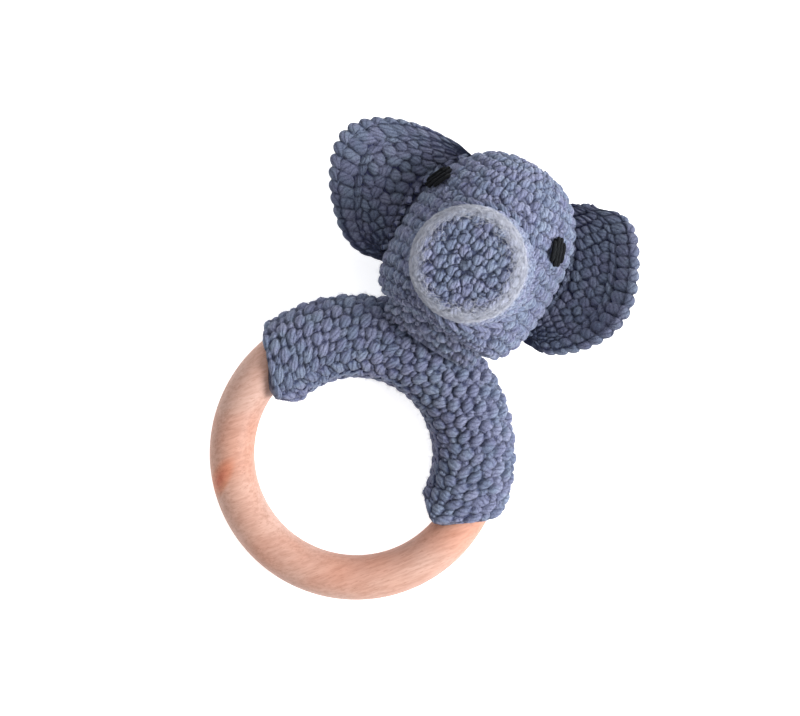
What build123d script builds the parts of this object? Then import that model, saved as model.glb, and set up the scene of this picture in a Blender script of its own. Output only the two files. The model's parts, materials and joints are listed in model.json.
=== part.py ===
from build123d import *
import os
from math import asin, cos, degrees, radians, sin

# A crocheted elephant head sewn to a crocheted sleeve on a wooden teething ring, lying on its back.
# +Z is the way the trunk points, +Y runs from the ring to the crown of the head, and X is across
# the ears. The origin is the middle of the footprint, on the surface that the toy lies on.
# Millimetres throughout. Heights up the head are measured from the centre of the wooden ring.

# ---- wooden ring and its sleeve ----
ring_outer_d = 70.0
ring_section_d = 10.7
bore_clearance = 0.25        # slack of the crocheted sleeve round the wood
sleeve_outer_r = 37.6
sleeve_inner_r = 18.9
sleeve_height = 16.0
sleeve_start = -20.0         # degrees, before the slanted ends are cut
sleeve_arc = 214.0
sleeve_ends = {"right": ((17.6, -3.7), (37.5, 2.6)), "left": ((-18.0, 0.6), (-35.8, 11.6))}

# ---- yarn ----
fabric = 2.5                 # thickness of one layer of crochet
yarn_r = 0.6                 # one strand of sewing yarn
gap = 0.1                    # between pieces that are sewn or packed against each other
stitch_pitch = 3.3
stitch_length = 2.8
whip_slant = 0.35            # run along the seam for each unit across it
whip_wrap = 40.0             # degrees either side of the inner edge
whip_first = 4.0
whip_step = 10.2
whip_count = 17
whip_lean = 30.0

# ---- head, as heights above the ring's centre ----
head_top_y = 80.2
head_wide_y = 52.0
head_foot_y = 34.7
head_r = 20.5
head_foot_r = 13.0
head_power = 2.5             # how square the dome and the flank are
neck_opening_r = 9.0
neck_loops = 6
neck_loop_start = -8.0
neck_loop_sweep = 56.0

# ---- trunk ----
trunk_y = 51.3
trunk_pivot_depth = 2.0      # of the bending point below the front of the head
trunk_length = 20.0          # from the bending point to the tip
trunk_base_r = 13.6
trunk_tip_r = 12.3
trunk_edge_r = 3.0
trunk_droop = 6.0            # degrees, towards the ring
trunk_ball_r = 14.0
trunk_seam_gap = 0.7
trunk_stitches = 24
bend_gap = 0.3

# ---- ears ----
ear_hinge_x = 23.3
ear_back = 2.0               # of the ear's root behind the axis of the head
ear_sweep = 15.0             # degrees forward of sideways
ear_root_gap = 2.5
ear_root_top = 74.4
ear_root_foot = 44.4
ear_root_azimuth = 96.0
ear_stitches = 9
ear_middle = (2.0, 60.0)     # sideways from the hinge, and up
ear_rim_foot = [(1.8, 43.2), (7.5, 45.8), (13.7, 52.5), (16.7, 59.5)]
ear_rim_top = [(15.8, 65.2), (11.1, 71.2), (3.8, 75.2), (-3.8, 76.2)]
edging_width = 4.2
edging_thickness = 3.4

# ---- eyes ----
eye_y = 65.0
eye_x = 16.2
eye_lengths = (3.2, 5.2, 6.2, 5.2, 3.2)
eye_lean = 22.0              # degrees, tops towards the middle

# ---- rattle capsule ----
capsule_d = 26.0
capsule_h = 18.0
capsule_y = 56.0
capsule_wall = 1.5
capsule_edge_r = 4.0
spigot_d = 23.0
spigot_wall = 1.4
spigot_h = 4.0
snap_clearance = 0.05
bead_d = 3.2
bead_lane_r = 6.5
bead_lift = 0.05

# ---- placed from the dimensions above ----
ring_r = (ring_outer_d - ring_section_d) / 2
ring_y = -(head_top_y - ring_outer_d / 2) / 2
ring_z = sleeve_height / 2
head_z = head_r
saddle_r = (sleeve_outer_r - sleeve_inner_r) / 2 + 2 * yarn_r + 2 * bend_gap
nod_y = (sleeve_outer_r + sleeve_inner_r) / 2
trunk_pivot_z = head_z + head_r - trunk_pivot_depth
ear_z = head_z - ear_back

ring_plane = Plane((0, ring_y, ring_z))
ring_axis = Axis((0, ring_y, ring_z), (0, 0, 1))
head_plane = Plane((0, ring_y, head_z))
head_axis = Axis((0, ring_y, head_z), (0, 1, 0))
nod_plane = Plane((0, ring_y + nod_y, ring_z), x_dir=(0, 1, 0), z_dir=(1, 0, 0))
trunk_plane = Plane(
    (0, ring_y + trunk_y, trunk_pivot_z),
    x_dir=(1, 0, 0),
    z_dir=(0, -sin(radians(trunk_droop)), cos(radians(trunk_droop))),
)
capsule_plane = Plane((0, ring_y + capsule_y, head_z))


def ring_section_plane(angle):
    """Plane across the ring's tube at an angle round the ring, X outwards and Y up."""
    out = Vector(cos(radians(angle)), sin(radians(angle)), 0)
    return Plane((0, ring_y, ring_z), x_dir=out, z_dir=(out.Y, -out.X, 0))


def quarter_curve(pole_r, side_r, pole_y, side_y, steps=7):
    """Points of a quarter superellipse, from its side at side_y to its pole at pole_y."""
    turn = [radians(90 * i / steps) for i in range(steps + 1)]
    reach = [(max(cos(a), 0) ** (2 / head_power), sin(a) ** (2 / head_power)) for a in turn]
    return [(pole_r + (side_r - pole_r) * c, side_y + (pole_y - side_y) * s) for c, s in reach]


def head_radius(y):
    """Outer radius of the head at a height above the ring's centre."""
    pole_y, pole_r = (head_top_y, 0.0) if y >= head_wide_y else (head_foot_y, head_foot_r)
    share = abs((y - head_wide_y) / (pole_y - head_wide_y))
    return pole_r + (head_r - pole_r) * (1 - share**head_power) ** (1 / head_power)


def head_section(inset):
    """Half section of the head, inset all round from its outer face, ready to turn about its axis."""
    with BuildSketch(head_plane) as section:
        with BuildLine():
            top, foot = head_top_y - inset, head_foot_y + inset
            Spline(
                quarter_curve(0, head_r - inset, top, head_wide_y),
                tangents=[(0, 1), (-1, 0)],
            )
            Spline(
                quarter_curve(head_foot_r, head_r - inset, foot, head_wide_y),
                tangents=[(0, -1), (-1, 0)],
            )
            Polyline((head_foot_r, foot), (0, foot), (0, top))
        make_face()
    return section.sketch


def saddle(radius):
    """Round bar about the nodding axis, which hollows the foot of the head over the sleeve."""
    with BuildPart() as bar:
        with BuildSketch(nod_plane):
            Circle(radius)
        extrude(amount=head_r + 5, both=True)
    return bar.part


def head_spot(y, azimuth, lift):
    """Plane that touches the head at a height and an azimuth from the front, lifted off it."""
    step = 0.05
    slope = (head_radius(y + step) - head_radius(y - step)) / (2 * step)
    side, front = sin(radians(azimuth)), cos(radians(azimuth))
    normal = Vector(side, -slope, front).normalized()
    radius = head_radius(y)
    foot = Vector(radius * side, ring_y + y, head_z + radius * front)
    return Plane(foot + normal * lift, x_dir=(front, 0, -side), z_dir=normal)


def turned(plane, angle):
    """The plane turned in itself."""
    x_dir = plane.x_dir * cos(radians(angle)) + plane.y_dir * sin(radians(angle))
    return Plane(plane.origin, x_dir=x_dir, z_dir=plane.z_dir)


def strand(length):
    """A strand of yarn along its own X, with rounded ends."""
    with BuildPart() as piece:
        with BuildSketch(Plane.YZ):
            Circle(yarn_r)
        extrude(amount=length / 2, both=True)
        fillet(piece.edges().filter_by(GeomType.CIRCLE), yarn_r * 0.8)
    return piece.part


def finish(piece, name):
    """Names a finished piece and writes it to its own file."""
    piece.part.label = name
    export_step(piece.part, f"parts/{name}.step")


os.makedirs("parts", exist_ok=True)

# ---- wooden ring ----
with BuildPart() as wooden_ring:
    with BuildSketch(ring_section_plane(0)):
        with Locations((ring_r, 0)):
            Circle(ring_section_d / 2)
    revolve(axis=ring_axis)
finish(wooden_ring, "wooden_ring")

# ---- sleeve: an oval crocheted tube over the upper half of the ring, cut slanting at both ends ----
sleeve_r = (sleeve_outer_r + sleeve_inner_r) / 2
sleeve_half_width = (sleeve_outer_r - sleeve_inner_r) / 2


def sleeve_end_plane(side):
    """Plane of a slanted sleeve end, facing away from the sleeve."""
    inner, outer = (Vector(*point) for point in sleeve_ends[side])
    along = outer - inner
    facing = Vector(along.Y, -along.X) if side == "right" else Vector(-along.Y, along.X)
    return Plane((inner.X, ring_y + inner.Y, ring_z), x_dir=(0, 0, 1), z_dir=facing)


with BuildPart() as ring_sleeve:
    with BuildSketch(ring_section_plane(sleeve_start)):
        with Locations((sleeve_r, 0)):
            Ellipse(sleeve_half_width, sleeve_height / 2)
        with Locations((ring_r, 0)):
            Circle(ring_section_d / 2 + bore_clearance, mode=Mode.SUBTRACT)
    revolve(axis=ring_axis, revolution_arc=sleeve_arc)
    for side in sleeve_ends:
        split(bisect_by=sleeve_end_plane(side), keep=Keep.BOTTOM)
finish(ring_sleeve, "ring_sleeve")


def yarn_loop(loop_r, start, sweep_angle):
    """Part of a ring of sewing yarn about its own Z, from an angle of its own X."""
    with BuildPart() as loop:
        with BuildLine() as path:
            CenterArc((0, 0), loop_r, start, sweep_angle)
        with BuildSketch(Plane(path.line @ 0, z_dir=path.line % 0)):
            Circle(yarn_r)
        sweep()
    return loop.part


# ---- whip stitches that close the sleeve along its inner edge ----
def whip_place(angle):
    """Plane of one slanted whip stitch round the inner edge of the sleeve, X pointing outwards."""
    out = Vector(cos(radians(angle)), sin(radians(angle)), 0)
    along = Vector(-out.Y, out.X, 0)
    centre = ring_plane.origin + out * (sleeve_inner_r + sleeve_height / 2)
    return Plane(centre, x_dir=out, z_dir=along - Vector(0, 0, 1) * whip_slant)


whip_loop = yarn_loop(sleeve_height / 2 + yarn_r + 2 * gap, 180 - whip_wrap, 2 * whip_wrap)
with BuildPart() as sleeve_seam:
    with Locations([whip_place(whip_first + whip_step * i).location for i in range(whip_count)]):
        add(whip_loop)
finish(sleeve_seam, "sleeve_seam")

# ---- head: a crocheted bag with its opening over the sleeve ----
with BuildPart() as head_hollow:
    revolve(head_section(fabric), axis=head_axis)
    add(saddle(saddle_r + fabric), mode=Mode.SUBTRACT)

with BuildPart() as head_cover:
    revolve(head_section(0), axis=head_axis)
    add(saddle(saddle_r), mode=Mode.SUBTRACT)
    add(head_hollow.part, mode=Mode.SUBTRACT)
    with BuildSketch(Plane(head_plane.origin, x_dir=(1, 0, 0), z_dir=(0, 1, 0))):
        Circle(neck_opening_r)
    extrude(amount=head_wide_y, mode=Mode.SUBTRACT)
finish(head_cover, "head_cover")

# ---- rattle capsule: two cups that snap together round loose beads ----
half_h = capsule_h / 2
with BuildPart() as rattle_shell_base:
    with BuildSketch(capsule_plane.offset(-half_h)):
        Circle(capsule_d / 2)
    extrude(amount=half_h)
    fillet(rattle_shell_base.faces().sort_by(Axis.Z)[0].edges(), capsule_edge_r)
    with BuildSketch(capsule_plane):
        Circle(spigot_d / 2)
    extrude(amount=spigot_h)
    with BuildSketch(capsule_plane.offset(capsule_wall - half_h)):
        Circle(spigot_d / 2 - spigot_wall)
    extrude(amount=capsule_h, mode=Mode.SUBTRACT)
finish(rattle_shell_base, "rattle_shell_base")

with BuildPart() as rattle_shell_lid:
    with BuildSketch(capsule_plane):
        Circle(capsule_d / 2)
    extrude(amount=half_h)
    fillet(rattle_shell_lid.faces().sort_by(Axis.Z)[-1].edges(), capsule_edge_r)
    with BuildSketch(capsule_plane):
        Circle(spigot_d / 2 + snap_clearance)
    extrude(amount=spigot_h + gap, mode=Mode.SUBTRACT)
    with BuildSketch(capsule_plane):
        Circle(spigot_d / 2 - spigot_wall)
    extrude(amount=half_h - capsule_wall, mode=Mode.SUBTRACT)
finish(rattle_shell_lid, "rattle_shell_lid")

# ---- loose beads, each in a lane of its own: one in the middle and six round it ----
bead_floor = capsule_plane.offset(capsule_wall - half_h + bead_d / 2 + bead_lift)
lanes = [(0, 0)] + [
    (bead_lane_r * cos(radians(60 * i)), bead_lane_r * sin(radians(60 * i))) for i in range(6)
]
for number, (x, y) in enumerate(lanes, start=1):
    with BuildPart(bead_floor) as bead:
        with Locations((x, y)):
            Sphere(bead_d / 2)
    finish(bead, f"rattle_bead_{number}")

# ---- wadding round the capsule, as a front half and a back half ----
for half, keep in (("front", Keep.TOP), ("back", Keep.BOTTOM)):
    with BuildPart() as head_stuffing:
        revolve(head_section(fabric + gap), axis=head_axis)
        add(saddle(saddle_r + fabric + gap), mode=Mode.SUBTRACT)
        with BuildSketch(capsule_plane.offset(-half_h - gap)):
            Circle(capsule_d / 2 + gap)
        extrude(amount=capsule_h + 2 * gap, mode=Mode.SUBTRACT)
        split(bisect_by=head_plane, keep=keep)
    finish(head_stuffing, f"head_stuffing_{half}")

# ---- stitches between the head and the sleeve, wound about the nodding axis ----
neck_loop = yarn_loop(sleeve_half_width + bend_gap + yarn_r, neck_loop_start, neck_loop_sweep)
with BuildPart() as neck_seam:
    with Locations(
        [nod_plane.offset(stitch_pitch * (i - (neck_loops - 1) / 2)).location for i in range(neck_loops)]
    ):
        add(neck_loop)
finish(neck_seam, "neck_seam")


# ---- trunk: a tapered stub split at its bend, where the tip turns on a ball of wadding ----
def trunk_cone(inset):
    """The trunk as a full cone, inset from its outer face, with a rounded tip."""
    with BuildPart() as cone:
        with BuildSketch(trunk_plane.offset(-trunk_length / 2)):
            Circle(2 * trunk_base_r - (trunk_base_r + trunk_tip_r) / 2 - inset)
        with BuildSketch(trunk_plane.offset(trunk_length - inset)):
            Circle(trunk_tip_r - inset)
        loft()
        fillet(cone.faces().sort_by(Axis.Z)[-1].edges(), trunk_edge_r - inset / 2)
    return cone.part


def trunk_ball(radius):
    """Ball about the point where the trunk bends."""
    with BuildPart(trunk_plane) as ball:
        Sphere(radius)
    return ball.part


with BuildPart() as head_block:
    revolve(head_section(-gap), axis=head_axis)

with BuildPart() as trunk_base:
    add(trunk_cone(0))
    add(trunk_ball(trunk_ball_r), mode=Mode.INTERSECT)
    add(trunk_cone(fabric), mode=Mode.SUBTRACT)
    add(head_block.part, mode=Mode.SUBTRACT)
finish(trunk_base, "trunk_base")

with BuildPart() as trunk_stuffing:
    add(trunk_cone(fabric + gap))
    add(trunk_ball(trunk_ball_r), mode=Mode.INTERSECT)
    add(head_block.part, mode=Mode.SUBTRACT)
finish(trunk_stuffing, "trunk_stuffing")

with BuildPart() as trunk_tip:
    add(trunk_cone(0))
    add(trunk_ball(trunk_ball_r + bend_gap), mode=Mode.SUBTRACT)
    split(bisect_by=trunk_plane, keep=Keep.TOP)
finish(trunk_tip, "trunk_tip")


def trunk_stitch_place(turn):
    """Plane of one stitch on the head, just outside the foot of the trunk."""
    reach = trunk_base_r + yarn_r + trunk_seam_gap
    x, y = reach * cos(radians(turn)), trunk_y + reach * sin(radians(turn))
    spot = head_spot(y, degrees(asin(x / head_radius(y))), yarn_r + gap)
    return Plane(spot.origin, x_dir=spot.z_dir.cross(Vector(x, y - trunk_y, 0)), z_dir=spot.z_dir)


with BuildPart() as trunk_seam:
    turns = [360 * i / trunk_stitches for i in range(trunk_stitches)]
    with Locations([trunk_stitch_place(turn).location for turn in turns]):
        add(strand(stitch_length))
finish(trunk_seam, "trunk_seam")


# ---- ears: a D of crochet with a thicker edging on its free side, and the stitches of its root ----
def ear_place(sign):
    """Plane of an ear: origin on its hinge at the height of the ring, X outwards, Y up the head."""
    out = Vector(sign * cos(radians(ear_sweep)), 0, sin(radians(ear_sweep)))
    return Plane(
        (sign * ear_hinge_x, ring_y, ear_z), x_dir=out, z_dir=out.cross(Vector(0, 1, 0))
    )


def ear_outline(inset=0.0, root_shift=0.0):
    """The D of an ear, its rim inset and its root following the head, or shifted towards the head."""
    reach = cos(radians(ear_sweep))
    root_heights = [ear_root_top - (ear_root_top - ear_root_foot) * i / 5 for i in range(6)]
    root = [((head_radius(y) + ear_root_gap - ear_hinge_x) / reach - root_shift, y) for y in root_heights]
    middle = Vector(*ear_middle)
    rim = [Vector(*point) for point in ear_rim_foot + ear_rim_top]
    rim = [point + (middle - point).normalized() * inset for point in rim]
    with BuildSketch() as outline:
        with BuildLine():
            root_line = Spline(root)
            rim_line = Spline(rim)
            Line(root_line @ 0, rim_line @ 1)
            Line(root_line @ 1, rim_line @ 0)
        make_face()
    return outline.sketch


inside_edging = ear_outline(inset=edging_width, root_shift=edging_width)

for name, sign in (("left", -1), ("right", 1)):
    plane = ear_place(sign)
    with BuildPart() as ear_panel:
        extrude(plane * ear_outline(), amount=fabric / 2, both=True)
        extrude(plane * inside_edging, amount=fabric, both=True, mode=Mode.INTERSECT)
    finish(ear_panel, f"{name}_ear")

    with BuildPart() as ear_edging:
        extrude(plane * ear_outline(), amount=edging_thickness / 2, both=True)
        extrude(plane * inside_edging, amount=fabric, both=True, mode=Mode.SUBTRACT)
    finish(ear_edging, f"{name}_ear_edging")

    with BuildPart() as ear_seam:
        heights = [ear_root_foot + stitch_pitch * (i + 0.5) for i in range(ear_stitches)]
        spots = [head_spot(y, sign * ear_root_azimuth, yarn_r + gap) for y in heights]
        with Locations([turned(spot, 90 - sign * whip_lean).location for spot in spots]):
            add(strand(stitch_length))
    finish(ear_seam, f"{name}_ear_seam")

    # ---- eye: parallel satin stitches, longest in the middle ----
    with BuildPart() as eye:
        azimuth = degrees(asin(eye_x / head_radius(eye_y)))
        step = degrees((2 * yarn_r + gap) / cos(radians(eye_lean)) / head_radius(eye_y))
        for i, length in enumerate(eye_lengths):
            spot = head_spot(eye_y, sign * (azimuth + step * (i - len(eye_lengths) // 2)), yarn_r + gap)
            with Locations(turned(spot, 90 + sign * eye_lean).location):
                add(strand(length))
    finish(eye, f"{name}_eye")
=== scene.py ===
import json
import math

import bpy
import numpy as np
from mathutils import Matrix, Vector


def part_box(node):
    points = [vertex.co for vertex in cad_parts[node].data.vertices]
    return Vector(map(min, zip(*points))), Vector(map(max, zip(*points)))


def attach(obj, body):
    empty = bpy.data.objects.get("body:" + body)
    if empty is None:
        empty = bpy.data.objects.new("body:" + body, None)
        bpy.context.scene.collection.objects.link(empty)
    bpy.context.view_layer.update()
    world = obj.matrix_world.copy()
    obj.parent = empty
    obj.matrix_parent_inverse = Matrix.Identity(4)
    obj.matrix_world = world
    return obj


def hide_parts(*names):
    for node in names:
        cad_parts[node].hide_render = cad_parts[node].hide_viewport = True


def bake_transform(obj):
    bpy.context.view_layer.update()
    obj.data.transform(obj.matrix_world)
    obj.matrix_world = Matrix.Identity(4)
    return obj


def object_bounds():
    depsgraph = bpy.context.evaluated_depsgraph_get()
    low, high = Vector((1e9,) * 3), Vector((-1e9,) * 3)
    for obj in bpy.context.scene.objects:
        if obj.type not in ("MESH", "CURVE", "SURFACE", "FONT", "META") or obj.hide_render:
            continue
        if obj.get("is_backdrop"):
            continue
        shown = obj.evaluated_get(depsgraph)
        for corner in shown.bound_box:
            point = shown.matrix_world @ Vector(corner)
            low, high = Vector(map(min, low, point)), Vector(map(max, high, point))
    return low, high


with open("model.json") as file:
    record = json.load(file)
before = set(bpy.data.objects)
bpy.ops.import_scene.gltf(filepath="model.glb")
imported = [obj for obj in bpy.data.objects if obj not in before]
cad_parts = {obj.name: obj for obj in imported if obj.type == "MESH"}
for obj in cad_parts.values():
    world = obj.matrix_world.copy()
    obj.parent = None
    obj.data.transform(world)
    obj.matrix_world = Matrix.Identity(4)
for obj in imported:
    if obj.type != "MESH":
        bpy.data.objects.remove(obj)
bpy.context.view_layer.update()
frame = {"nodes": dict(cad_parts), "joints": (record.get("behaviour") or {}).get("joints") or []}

# A crocheted elephant rattle on a wooden ring. The crochet is a raised skin of packed stitches on
# the surface of each piece, and its seams, eyes and loose fibres are strands of yarn. Shapes are
# worked out in millimetres, with heights measured from the centre of the wooden ring, and placed
# by the frame.
rng = np.random.default_rng(20)
MM = 0.001

# ---- places and sizes in mm, some of them read from the frame ----
joints = {joint["name"]: joint for joint in frame["joints"]}
ring_low, ring_high = (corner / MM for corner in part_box("wooden_ring"))
RING_Y = (ring_low.y + ring_high.y) / 2
RING_Z = (ring_low.z + ring_high.z) / 2
RING_OUTER_R = (ring_high.x - ring_low.x) / 2
WOOD_R = (ring_high.z - ring_low.z) / 2
RING_R = RING_OUTER_R - WOOD_R

head_low, head_high = (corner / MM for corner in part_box("head_cover"))
HEAD_R = (head_high.x - head_low.x) / 2
HEAD_Z = HEAD_R
HEAD_TOP = head_high.y - RING_Y
HEAD_FOOT = head_low.y - RING_Y
HEAD_WIDE = HEAD_FOOT + 0.38 * (HEAD_TOP - HEAD_FOOT)
HEAD_FOOT_R = 13.0
HEAD_POWER = 2.5

NOD_Y = joints["head_nod"]["pos_m"][1] / MM - RING_Y
NOD_Z = joints["head_nod"]["pos_m"][2] / MM
SLEEVE_HALF_HEIGHT = RING_Z
SLEEVE_HALF_WIDTH = 9.80
SLEEVE_MIDDLE_R = 28.10
# the sleeve's two ends: their turns round the ring, in degrees, at distances from its centre
SLEEVE_RHO = (18.0, 19.5, 22.0, 24.0, 28.0, 32.0, 36.0, 38.0)
SLEEVE_FIRST = (0.0, -4.0, -9.0, -9.6, -3.7, 0.9, 5.5, 9.5)
SLEEVE_LAST = (170.5, 175.0, 177.8, 175.0, 168.3, 164.4, 161.2, 158.0)

TRUNK_Y = joints["trunk_wag"]["pos_m"][1] / MM - RING_Y
TRUNK_Z = joints["trunk_wag"]["pos_m"][2] / MM
TRUNK_LENGTH = 20.0
TRUNK_BASE_R = 13.6
TRUNK_TIP_R = 12.5
TRUNK_EDGE_R = 3.2
TRUNK_SUNK = 5.0        # how deep the trunk goes into the head
TRUNK_DROOP = math.radians(4.2)
TRUNK_LEAN = math.radians(5.6)

EAR_HINGE_X = joints["right_ear_fold"]["pos_m"][0] / MM
EAR_Z = joints["right_ear_fold"]["pos_m"][2] / MM
EAR_INSET = 0.5         # from an ear's hinge in to where its face turns
EAR_SWEEP = {"left": 9.0, "right": 30.0}
EAR_CUP = {"left": 0.010, "right": 0.016}
EAR_WAVE = {"left": 0.5, "right": 0.9}
EAR_GROWTH = {"left": 1.13, "right": 1.04}      # the left ear is deeper, so its stitches are larger
EAR_ROOT = {"left": (73.9, 43.9), "right": (74.8, 44.8)}
EAR_ROOT_DEPTH = 1.6    # of an ear's root under the head's surface
EAR_RIM = {             # along each ear's edge: out from the hinge, and height
    "left": [
        (-4.6, 74.7), (4.4, 73.6), (13.3, 70.1), (18.9, 64.4), (19.3, 58.0), (15.4, 50.2), (8.2, 43.2),
        (1.6, 40.8), (-4.5, 42.2),
    ],
    "right": [
        (-6.3, 79.2), (0.0, 80.7), (5.7, 78.6), (10.9, 72.9), (15.1, 66.0), (16.6, 59.1), (13.7, 52.4),
        (7.4, 46.4), (1.7, 43.6), (-4.5, 44.5),
    ],
}
EYES = {"left": (-17.7, 64.9), "right": (14.6, 64.4)}
EYE_STRANDS = (4.2, 6.2, 6.0, 3.8)
EYE_LEAN = math.radians(23)

PITCH = 3.35        # from stitch to stitch, both ways
CORE_LIFT = -1.45   # the inner face of the crochet, off the piece's outer face
BASE_LIFT = -0.9    # the foot of the stitches, off the piece's outer face
CREVICE_WIDTH, CREVICE_DEPTH = 0.55, 0.35
FIBRE_ROUGHNESS = 0.04


# ---- mesh building ----
def unit(v):
    return v / np.maximum(np.linalg.norm(v, axis=-1, keepdims=True), 1e-9)


def linked(name, data):
    """A new object in the scene that shows the data."""
    obj = bpy.data.objects.new(name, data)
    bpy.context.scene.collection.objects.link(obj)
    return obj


class Yarn:
    """Collects strands of yarn, closed tubes with twisted plies, and turns them into one mesh."""

    def __init__(self):
        self.verts, self.quads, self.caps, self.uvs, self.cap_uvs = [], [], [], [], []
        self.tint, self.pale, self.proud, self.count = [], [], [], 0

    def strands(self, path, normal, radius, segs=10, depth=0.08, flat=0.85, tint=None, pale=0.0):
        """Adds K strands of M points: path and normal are (K, M, 3) in mm, radius is (K, M)."""
        plies = 2
        k, m, _ = path.shape
        along = unit(np.gradient(path, axis=1))
        side = unit(np.cross(along, normal))
        up = np.cross(side, along)
        run = np.concatenate(
            [np.zeros((k, 1)), np.cumsum(np.linalg.norm(np.diff(path, axis=1), axis=2), axis=1)], axis=1
        )
        angle = np.arange(segs) * 2 * np.pi / segs
        start = rng.uniform(0, 2 * np.pi, (k, 1, 1))
        twist = 0.8 * plies / np.maximum(radius.max(), 0.3)
        lobe = np.cos(plies * angle - twist * run[..., None] + start)
        # painted shade: each strand is darker underneath and towards its thin ends
        proud = (radius / radius.max(axis=1, keepdims=True))[..., None] ** 0.7 * np.sin(angle)
        reach = radius[..., None] * (1 + depth * lobe)
        ring = path[:, :, None] + reach[..., None] * (
            np.cos(angle)[:, None] * side[:, :, None] + flat * np.sin(angle)[:, None] * up[:, :, None]
        )
        self.verts.append(ring.reshape(-1, 3))
        base = self.count + np.arange(k)[:, None, None] * m * segs
        row = np.arange(m - 1)[None, :, None] * segs
        here, there = np.arange(segs), (np.arange(segs) + 1) % segs
        a, b = base + row + here, base + row + there
        self.quads.append(np.stack([a, a + segs, b + segs, b], -1).reshape(-1, 4))
        u0, u1 = run[:, :-1, None] + 0 * here, run[:, 1:, None] + 0 * here
        v0, v1 = (here / segs) + 0 * u0, ((here + 1) / segs) + 0 * u0
        self.uvs.append(np.stack([u0, v0, u1, v0, u1, v1, u0, v1], -1).reshape(-1, 2))
        first = self.count + np.arange(k)[:, None] * m * segs
        self.caps.append((segs, first + here))
        self.caps.append((segs, first + (m - 1) * segs + here[::-1]))
        shade = rng.uniform(0, 1, k) if tint is None else np.broadcast_to(tint, (k,))
        self.tint.append(np.repeat(shade, m * segs))
        self.pale.append(np.full(k * m * segs, pale))
        self.proud.append((0.5 + 0.5 * proud).reshape(-1))
        self.count += k * m * segs

    def relief(self, grid, shade, clear, pale, yarn_map, closed_v=False):
        """Adds a skin of packed stitches, with a shade, clearness, paleness and yarn map at each point. The
        clearness sets its painted crevice shade.
        """
        rows, columns, _ = grid.shape
        self.surface(grid, closed_v=closed_v)
        self.tint[-1] = shade.reshape(-1)
        self.pale[-1] = np.broadcast_to(pale, (rows, columns)).reshape(-1)
        # painted shade: darker in the crevices between stitches, a little lighter on the clear tops
        self.proud[-1] = 0.60 + 0.40 * clear.reshape(-1)
        corners = self.quads[-1].reshape(-1) - (self.count - rows * columns)
        self.uvs[-1] = yarn_map.reshape(-1, 2)[corners]

    def surface(self, grid, tint=0.0, pale=0.0, closed_v=False):
        """Adds a smooth skin through an (I, J, 3) grid of points, closed round J. Its ends are
        joined to each other if closed_v, and otherwise capped."""
        i, j, _ = grid.shape
        self.verts.append(grid.reshape(-1, 3))
        here = np.arange(j)
        there = (here + 1) % j
        row = self.count + np.arange(i if closed_v else i - 1)[:, None] * j
        beyond = self.count + (row - self.count + j) % (i * j)
        quads = np.stack([row + here, beyond + here, beyond + there, row + there], -1)
        self.quads.append(quads.reshape(-1, 4))
        self.uvs.append(np.zeros((quads.size, 2)))
        for store, value in ((self.tint, tint), (self.pale, pale), (self.proud, 0.0)):
            store.append(np.full(i * j, value))
        if not closed_v:
            self.caps.append((j, self.count + np.arange(j)[None]))
            self.caps.append((j, self.count + (i - 1) * j + np.arange(j)[None, ::-1]))
        self.count += i * j

    def build(self, name, material):
        """Makes the object, in metres, in the row's frame."""
        verts = np.concatenate(self.verts) * MM
        verts[:, 1] += RING_Y * MM
        quads = np.concatenate(self.quads)
        loops, sizes, uv = [quads.reshape(-1)], [np.full(len(quads), 4)], [np.concatenate(self.uvs)]
        for size, cap in self.caps:
            loops.append(cap.reshape(-1))
            sizes.append(np.full(cap.size // size, size))
            uv.append(np.zeros((cap.size, 2)))
        loops, sizes, uv = np.concatenate(loops), np.concatenate(sizes), np.concatenate(uv)
        mesh = bpy.data.meshes.new(name)
        mesh.vertices.add(len(verts))
        mesh.vertices.foreach_set("co", verts.astype(np.float32).ravel())
        mesh.loops.add(len(loops))
        mesh.loops.foreach_set("vertex_index", loops.astype(np.int32))
        mesh.polygons.add(len(sizes))
        starts = np.concatenate([[0], np.cumsum(sizes)[:-1]])
        mesh.polygons.foreach_set("loop_start", starts.astype(np.int32))
        mesh.polygons.foreach_set("loop_total", sizes.astype(np.int32))
        mesh.polygons.foreach_set("use_smooth", np.ones(len(sizes), bool))
        yarn_map = mesh.uv_layers.new(name="yarn")
        yarn_map.data.foreach_set("uv", (uv * [0.1, 1.0]).astype(np.float32).ravel())
        for key, values in (("tint", self.tint), ("pale", self.pale), ("proud", self.proud)):
            attribute = mesh.attributes.new(key, "FLOAT", "POINT")
            attribute.data.foreach_set("value", np.concatenate(values).astype(np.float32))
        mesh.update()
        mesh.validate()
        mesh.materials.append(material)
        return linked(name, mesh)


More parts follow.
